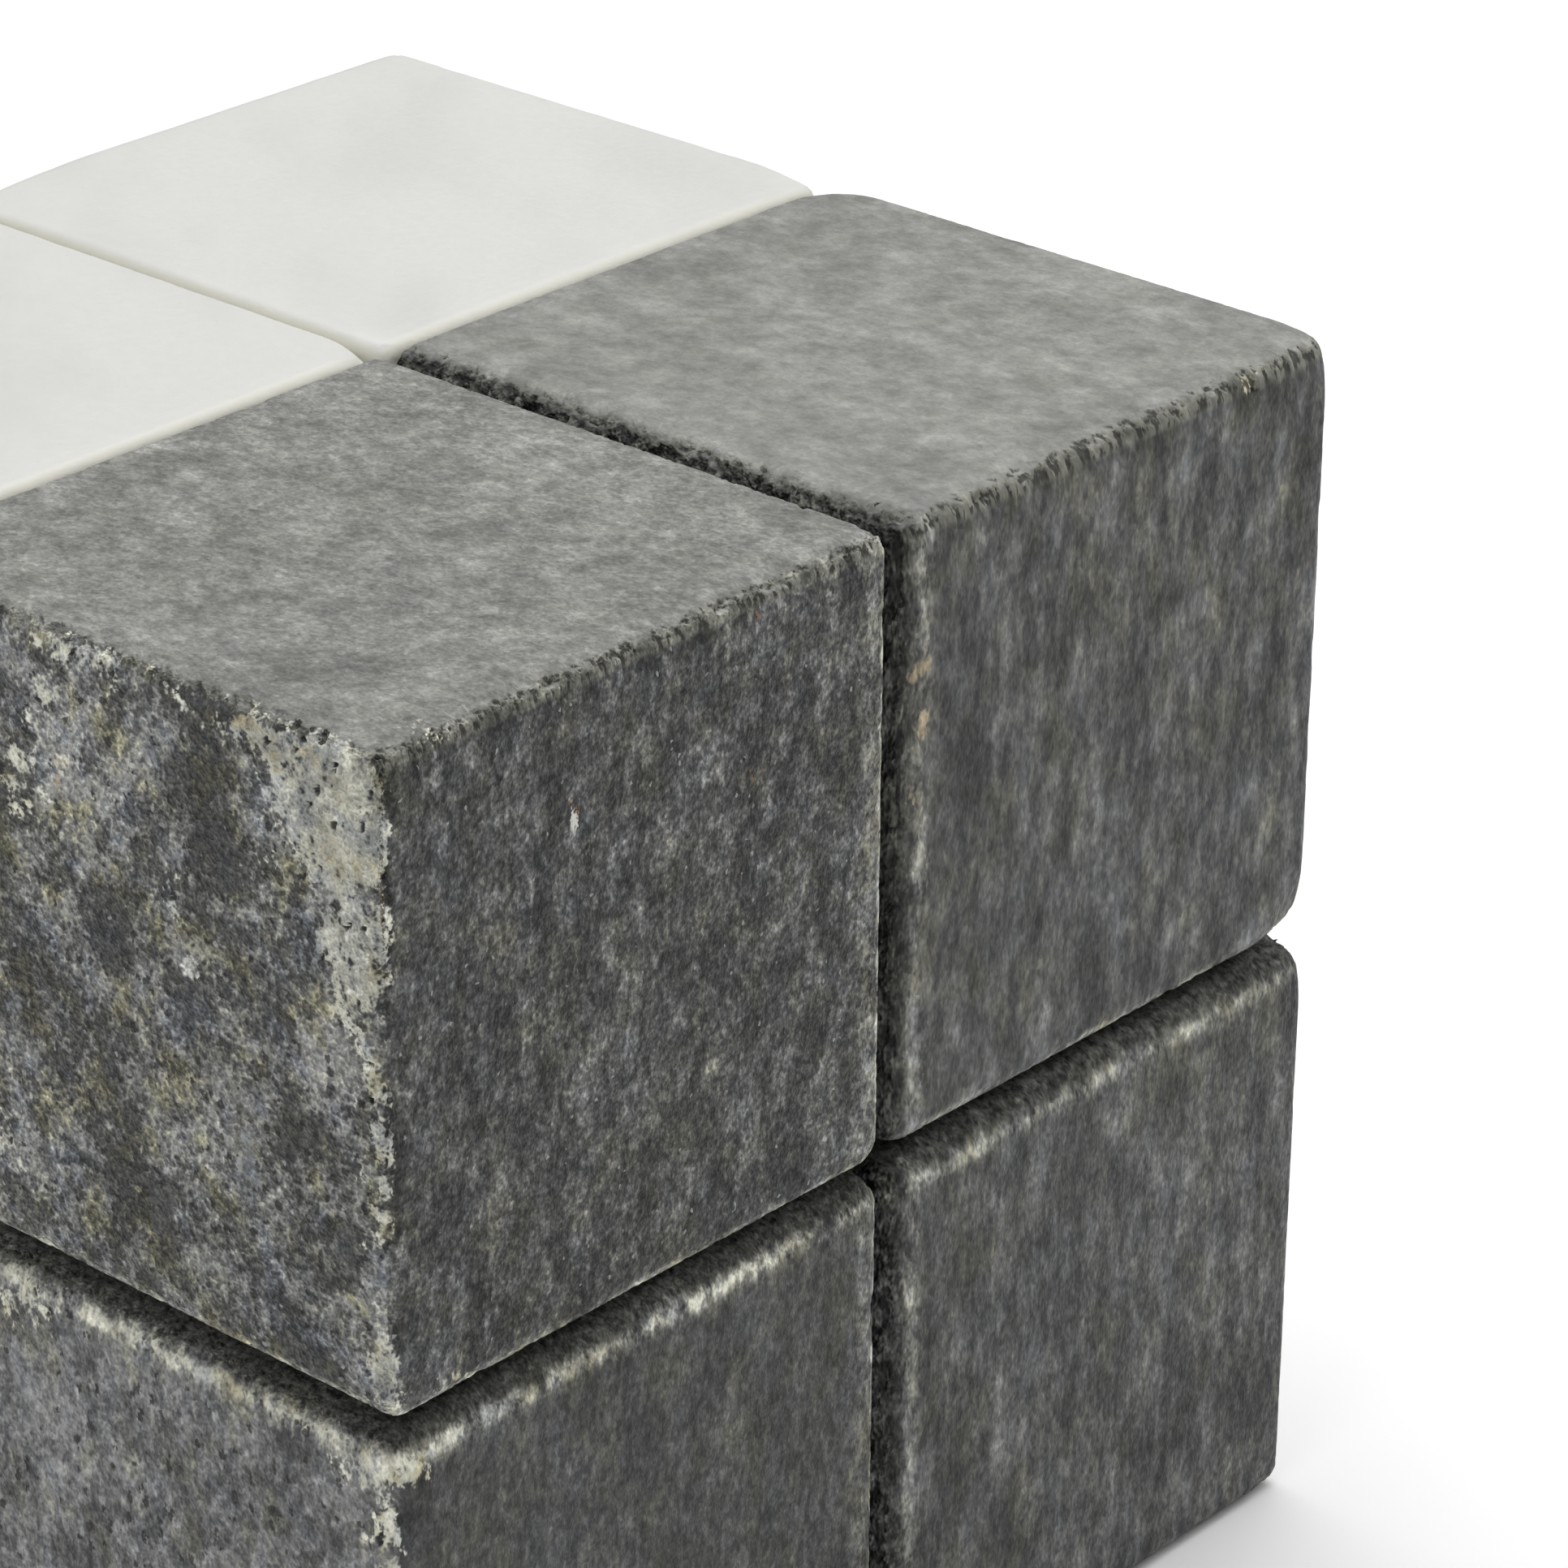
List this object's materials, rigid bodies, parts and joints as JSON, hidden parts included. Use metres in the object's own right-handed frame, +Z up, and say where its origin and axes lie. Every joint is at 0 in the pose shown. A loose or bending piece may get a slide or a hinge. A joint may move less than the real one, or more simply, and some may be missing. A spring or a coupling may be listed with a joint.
{
  "type": "marble block",
  "caption": "Decorative block of bonded marble cubes, dark in front and white behind, with rounded tumbled edges and narrow open grooves between the cubes.",
  "frame": {"origin": "middle of the block's underside", "axes": "+Z up; the dark front faces -Y; +X runs to the right along the front"},
  "size_m": [0.1009, 0.1009, 0.1006],
  "materials": {
    "dark_marble": "tumbled, matt",
    "white_marble": "honed, soft satin"
  },
  "bodies": {
    "root": {"dark_cube_front_left_top": "dark_marble", "dark_cube_front_right_top": "dark_marble", "dark_cube_front_left_bottom": "dark_marble", "dark_cube_front_right_bottom": "dark_marble", "white_cube_back_left_top": "white_marble", "white_cube_back_right_top": "white_marble", "white_cube_back_left_bottom": "white_marble", "white_cube_back_right_bottom": "white_marble"}
  },
  "joints": []
}
